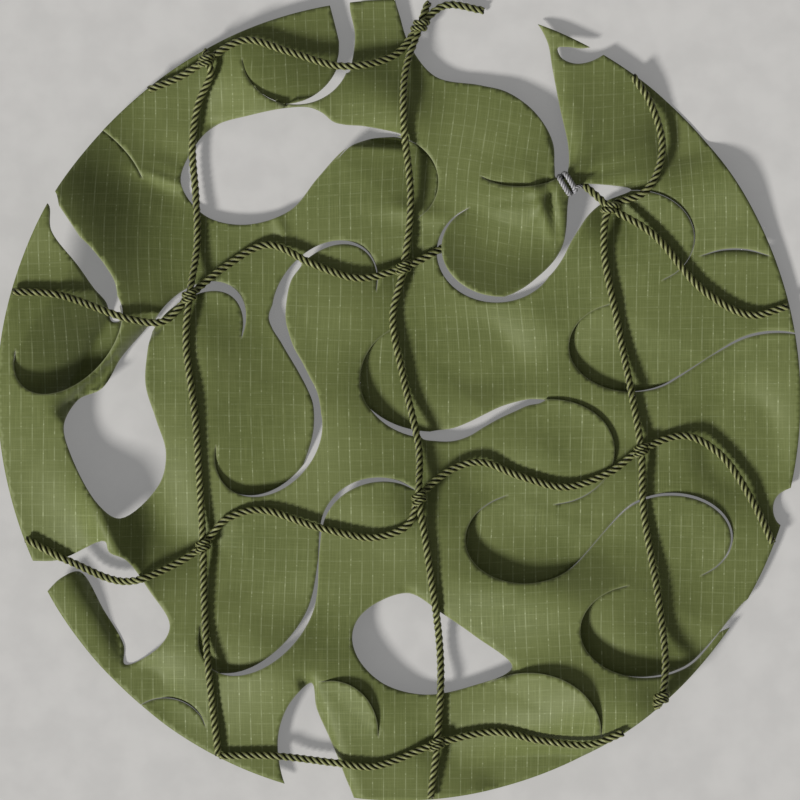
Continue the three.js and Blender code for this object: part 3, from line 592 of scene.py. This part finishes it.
def joinParts(name, parts):
    verts, faces, paintedGrooveShade, uv, base = [], [], [], [], 0
    for v, f, g, t in parts:
        verts.append(v)
        faces += [tuple(base + i for i in face) for face in f]
        paintedGrooveShade.append(g)
        uv.append(t)
        base += len(v)
    piece = meshObject(name, np.vstack(verts), faces)
    addValue(piece.data, "paintedGrooveShade", np.concatenate(paintedGrooveShade))
    addUv(piece.data, np.vstack(uv))
    print(name, len(faces), "faces")
    return piece


def makeNet():
    c = cordSizes
    helix, knotHelix = c["radius"] - c["strand"], c["knotCord"] - c["knotStrand"]
    parts = []
    for run in runs:
        path = spaced(curve([(s["x"], s["y"], s["z"]) for s in run]), c["step"])[0]
        parts.append(twisted(path, (0, 0, 1), c["strand"], helix, c["lay"], c["strands"],
                             c["sides"], False))
    for knot in knots:
        heading, slant = math.radians(knot["heading"]), math.radians(c["knotSlant"])
        axis = np.array([math.cos(heading + slant), math.sin(heading + slant), 0])
        along = np.array([math.cos(heading), math.sin(heading), 0])
        level = np.array([-axis[1], axis[0], 0])
        turn = np.linspace(0, 2 * math.pi, c["knotSteps"], endpoint=False)[:, None]
        for shift in (-c["knotShift"], c["knotShift"]):
            middle = np.array([knot["x"], knot["y"], knot["z"]]) + along * shift
            path = middle + c["knotRing"] * (np.cos(turn) * level + np.sin(turn) * np.array([0, 0, 1]))
            parts.append(twisted(path, axis, c["knotStrand"], knotHelix, c["knotLay"], c["strands"],
                                 c["knotSides"], True))
    return joinParts("twistedNet", parts)


net = makeNet()


def makeTie():
    t = tieSizes
    heading = math.radians(t["heading"])
    along = np.array([math.cos(heading), math.sin(heading), 0])
    across = np.array([-math.sin(heading), math.cos(heading), 0])
    middle = np.array([t["x"], t["y"], clothHeight(np.array([t["x"]]), np.array([t["y"]]))[0] - t["drop"]])
    angle = np.linspace(0, 2 * math.pi, t["steps"], endpoint=False)
    squared = lambda value, half: half * np.sign(value) * np.abs(value) ** t["squareness"]
    apart = t["gap"] * (t["pinch"] + (1 - t["pinch"]) * smooth((np.sin(angle) + 1) / 2))  # closer below
    strand, helix = t["thread"] * t["strandShare"], t["thread"] * t["helixShare"]
    parts = []
    for side in (-1, 1):
        points = (middle + squared(np.cos(angle), t["halfWidth"])[:, None] * along
                  + squared(np.sin(angle), t["halfHeight"])[:, None] * np.array([0, 0, 1])
                  + (side * apart)[:, None] * across)
        path = spaced(np.vstack([curve(points, True, t["span"]), points[:1]]), t["step"])[0][:-1]
        parts.append(twisted(path, across, strand, helix, t["lay"], t["strands"], t["sides"], True))
    tail = spaced(curve(np.array(tieTail) + [0, 0, middle[2]]), t["step"])[0]
    strand, helix = t["thread"] * t["endStrand"], t["thread"] * t["endHelix"]
    parts.append(twisted(tail, (0, 0, 1), strand, helix, t["lay"], t["strands"], t["sides"], False))
    return joinParts("threadTie", parts)


tie = makeTie()


# materials
class Finish:
    def __init__(self, name, roughness):
        self.material = bpy.data.materials.new(name)
        self.material.use_nodes = True
        self.nodes, self.links = self.material.node_tree.nodes, self.material.node_tree.links
        self.shader = self.nodes["Principled BSDF"]
        self.shade("Roughness", roughness)

    def feed(self, socket, value):
        if isinstance(value, bpy.types.NodeSocket):
            self.links.new(value, socket)
        else:
            socket.default_value = value

    def shade(self, name, value):
        self.feed(self.shader.inputs[name], value)

    def node(self, kind, inputs=(), **settings):
        made = self.nodes.new(kind)
        for key, value in settings.items():
            setattr(made, key, value)
        for key, value in dict(inputs).items():
            self.feed(made.inputs[key], value)
        return made

    def calc(self, operation, a, b=0.0):
        return self.node("ShaderNodeMath", {0: a, 1: b}, operation=operation).outputs[0]

    def times(self, a, b):
        return self.calc("MULTIPLY", a, b)

    def spread(self, value, low, high, toLow=0.0, toHigh=1.0):
        inputs = {"Value": value, "From Min": low, "From Max": high, "To Min": toLow, "To Max": toHigh}
        return self.node("ShaderNodeMapRange", inputs, interpolation_type="SMOOTHSTEP").outputs[0]

    def mix(self, share, a, b):
        return self.node("ShaderNodeMix", {0: share, 6: a, 7: b}, data_type="RGBA").outputs[2]

    def grain(self, vector, scale=1.0, detail=2.0):
        inputs = {"Vector": vector, "Scale": scale, "Detail": detail}
        return self.node("ShaderNodeTexNoise", inputs, noise_dimensions="3D").outputs[0]

    def place(self, x, y, z):
        return self.node("ShaderNodeCombineXYZ", {0: x, 1: y, 2: z}).outputs[0]

    def weave(self):
        coords = self.node("ShaderNodeUVMap", uv_map="weave").outputs[0]
        return self.node("ShaderNodeSeparateXYZ", {0: coords}).outputs

    def bump(self, height, strength, distance):
        made = self.node("ShaderNodeBump", {"Height": height, "Strength": strength, "Distance": distance})
        self.shade("Normal", made.outputs[0])


# a spread is from low, from high, to low, to high; weft, warp and patch are two scales and a seed
clothLook = dict(base=(0.106, 0.127, 0.037, 1), pale=(0.145, 0.170, 0.058, 1),
                 deep=(0.090, 0.111, 0.029, 1), line=(0.36, 0.40, 0.24, 1), edge=(0.30, 0.32, 0.20, 1),
                 pitch=4.6, upright=0.34, level=0.12, uprightSeed=1.7, levelSeed=9.2, rowStep=7.3,
                 drift=0.1, driftScale=0.05, breakScale=0.16,
                 slubScale=0.75, lineSpread=(0.04, 0.38, 1.0, 0.0), breakSpread=(0.38, 0.66, 0.28, 1.0),
                 slubSpread=(0.58, 0.72, 0.0, 1.3), weft=(0.08, 3.0, 4.0), weftSpread=(0.4, 0.7),
                 weftShare=0.45, warp=(2.8, 0.07, 6.0), warpSpread=(0.45, 0.7), warpShare=0.55,
                 patch=(0.02, 0.02, 2.0), patchSpread=(0.35, 0.65), edgeSpread=(0.1, 0.7, 0.32, 0.0),
                 threadScale=11.0, threadShare=0.25, bump=0.25, bumpHeight=0.0001, roughness=0.62,
                 shine=0.3, sheen=0.08, detail=3.0, patchDetail=2.0)


def clothMaterial():
    look = clothLook
    finish = Finish("oliveRipstop", look["roughness"])
    calc, times, spread, mix, grain = finish.calc, finish.times, finish.spread, finish.mix, finish.grain
    coords = finish.weave()
    u, v = times(coords[0], clothSizes["weaveUnit"]), times(coords[1], clothSizes["weaveUnit"])

    def ripLine(across, along, seed, strength):
        cell = calc("DIVIDE", across, look["pitch"])
        row = times(calc("FLOOR", cell), look["rowStep"])
        drift = grain(finish.place(row, times(along, look["driftScale"]), seed))
        wander = times(calc("SUBTRACT", drift, 0.5), look["drift"])
        offset = calc("SUBTRACT", calc("FRACT", calc("ADD", cell, wander)), 0.5)
        line = spread(times(calc("ABSOLUTE", offset), look["pitch"]), *look["lineSpread"])
        breaks = grain(finish.place(row, times(along, look["breakScale"]), seed), detail=look["detail"])
        slubs = grain(finish.place(row, times(along, look["slubScale"]), seed))
        broken, slub = spread(breaks, *look["breakSpread"]), spread(slubs, *look["slubSpread"])
        return times(line, calc("ADD", times(broken, strength), times(slub, strength)))

    def stretched(scales, detail):
        return grain(finish.place(times(u, scales[0]), times(v, scales[1]), scales[2]), detail=detail)

    upright = ripLine(u, v, look["uprightSeed"], look["upright"])
    level = ripLine(v, u, look["levelSeed"], look["level"])
    lines = calc("MAXIMUM", upright, level)
    weft, warp = stretched(look["weft"], look["detail"]), stretched(look["warp"], look["detail"])
    patch = stretched(look["patch"], look["patchDetail"])
    ground = mix(spread(patch, *look["patchSpread"]), look["deep"], look["base"])
    ground = mix(times(spread(weft, *look["weftSpread"]), look["weftShare"]), ground, look["pale"])
    ground = mix(times(spread(warp, *look["warpSpread"]), look["warpShare"]), ground, look["pale"])
    ground = mix(lines, ground, look["line"])
    away = finish.node("ShaderNodeAttribute", attribute_name="cutEdge").outputs["Fac"]
    finish.shade("Base Color", mix(spread(away, *look["edgeSpread"]), ground, look["edge"]))
    warpWave, weftWave = [calc("SINE", times(way, look["threadScale"])) for way in (u, v)]
    threads = times(times(warpWave, weftWave), look["threadShare"])
    finish.bump(calc("ADD", threads, calc("ADD", lines, weft)), look["bump"], look["bumpHeight"])
    finish.shade("Specular IOR Level", look["shine"])
    finish.shade("Sheen Weight", look["sheen"])
    return finish.material


# crown and fibre are the strand colours; the groove colour is painted shade, darker towards the grooves
# between the strands
cordLook = dict(crown=(0.355, 0.375, 0.175, 1), fibre=(0.095, 0.105, 0.020, 1),
                paintedGrooveShade=(0.012, 0.0135, 0.001, 1), alongScale=6.0, roundScale=14.0, detail=3.0,
                fibreSpread=(0.35, 0.65), grooveShadeSpread=(0.3, 1.0, 1.0, 0.0), bump=0.35, bumpHeight=0.0002,
                roughness=0.5, shine=0.35)


def cordMaterial(name, look):
    finish = Finish(name, look["roughness"])
    coords = finish.weave()
    along, around = finish.times(coords[0], look["alongScale"]), finish.times(coords[1], look["roundScale"])
    fibre = finish.grain(finish.place(along, around, 0.0), detail=look["detail"])
    crown = finish.mix(finish.spread(fibre, *look["fibreSpread"]), look["fibre"], look["crown"])
    # painted shade: each strand darkens from its crown towards the grooves where it meets the others
    paintedGrooveShade = finish.node("ShaderNodeAttribute", attribute_name="paintedGrooveShade").outputs["Fac"]
    deep = finish.spread(paintedGrooveShade, *look["grooveShadeSpread"])
    finish.shade("Base Color", finish.mix(deep, crown, look["paintedGrooveShade"]))
    finish.bump(fibre, look["bump"], look["bumpHeight"])
    finish.shade("Specular IOR Level", look["shine"])
    return finish.material


# the tie's thread gets the same painted shade in its grooves
threadLook = dict(cordLook, crown=(0.42, 0.42, 0.45, 1), fibre=(0.30, 0.30, 0.33, 1),
                  paintedGrooveShade=(0.12, 0.12, 0.13, 1))
cloth.data.materials.append(clothMaterial())
net.data.materials.append(cordMaterial("oliveCord", cordLook))
tie.data.materials.append(cordMaterial("greyThread", threadLook))

for piece, node, slot in ((cloth, "cloth", "cloth"), (net, "net", "cord"), (tie, "tie", "thread")):
    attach(piece, "root")
    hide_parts(node)

# floor, light and camera
stageSizes = dict(floor=4.0, floorDrop=0.0001, sunElevation=36, sunAzimuth=225, sunAngle=11, sun=4.3,
                  sky=0.24, camera=3.0, sensor=36, farClip=20)
stageLook = dict(dark=(0.31, 0.305, 0.30, 1), pale=(0.35, 0.345, 0.34, 1), mottle=60.0,
                 mottleSpread=(0.3, 0.7), detail=3.0, roughness=0.85, paintedGlow=0.18,
                 paintedGlowTint=(0.97, 0.97, 1.0, 1), skyTint=(1.0, 0.99, 0.90, 1), sunTint=(1.0, 0.98, 0.94))
bpy.ops.mesh.primitive_plane_add(size=stageSizes["floor"], location=(0, 0, -stageSizes["floorDrop"]))
floor = bpy.context.object
floor.name = "paleFloor"
floorFinish = Finish("paleFloorFinish", stageLook["roughness"])
floorCoords = floorFinish.node("ShaderNodeTexCoord").outputs["Object"]
mottle = floorFinish.grain(floorCoords, stageLook["mottle"], stageLook["detail"])
share = floorFinish.spread(mottle, *stageLook["mottleSpread"])
floorFinish.shade("Base Color", floorFinish.mix(share, stageLook["dark"], stageLook["pale"]))
# painted light: the floor glows a little, lifting the shade seen through the openings
floorFinish.shade("Emission Color", stageLook["paintedGlowTint"])
floorFinish.shade("Emission Strength", stageLook["paintedGlow"])
floor.data.materials.append(floorFinish.material)
floor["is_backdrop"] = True

world = bpy.data.worlds.new("softSky")
bpy.context.scene.world = world
world.use_nodes = True
background = world.node_tree.nodes["Background"]
background.inputs["Color"].default_value = stageLook["skyTint"]
background.inputs["Strength"].default_value = stageSizes["sky"]
bpy.ops.object.light_add(type="SUN")
sun = bpy.context.object
sun.name = "softKey"
sun.data.energy = stageSizes["sun"]
sun.data.angle = math.radians(stageSizes["sunAngle"])
sun.data.color = stageLook["sunTint"]
azimuth, elevation = math.radians(stageSizes["sunAzimuth"]), math.radians(stageSizes["sunElevation"])
flat = math.cos(elevation)
fromSun = Vector((math.cos(azimuth) * flat, math.sin(azimuth) * flat, math.sin(elevation)))
sun.rotation_euler = (-fromSun).to_track_quat("-Z", "Y").to_euler()

bpy.ops.object.camera_add(location=(0, 0, stageSizes["camera"]), rotation=(0, 0, 0))
camera = bpy.context.object
camera.data.sensor_width = stageSizes["sensor"]
camera.data.lens = stageSizes["sensor"] * stageSizes["camera"] / (2 * discRadius * mm)
camera.data.clip_end = stageSizes["farClip"]
bpy.context.scene.camera = camera
bpy.context.scene.view_settings.view_transform = "Standard"
print("stage set")

boxes = {"cad": cadBox, "visual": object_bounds()}
{key: [[float(v) for v in corner] for corner in box] for key, box in boxes.items()}
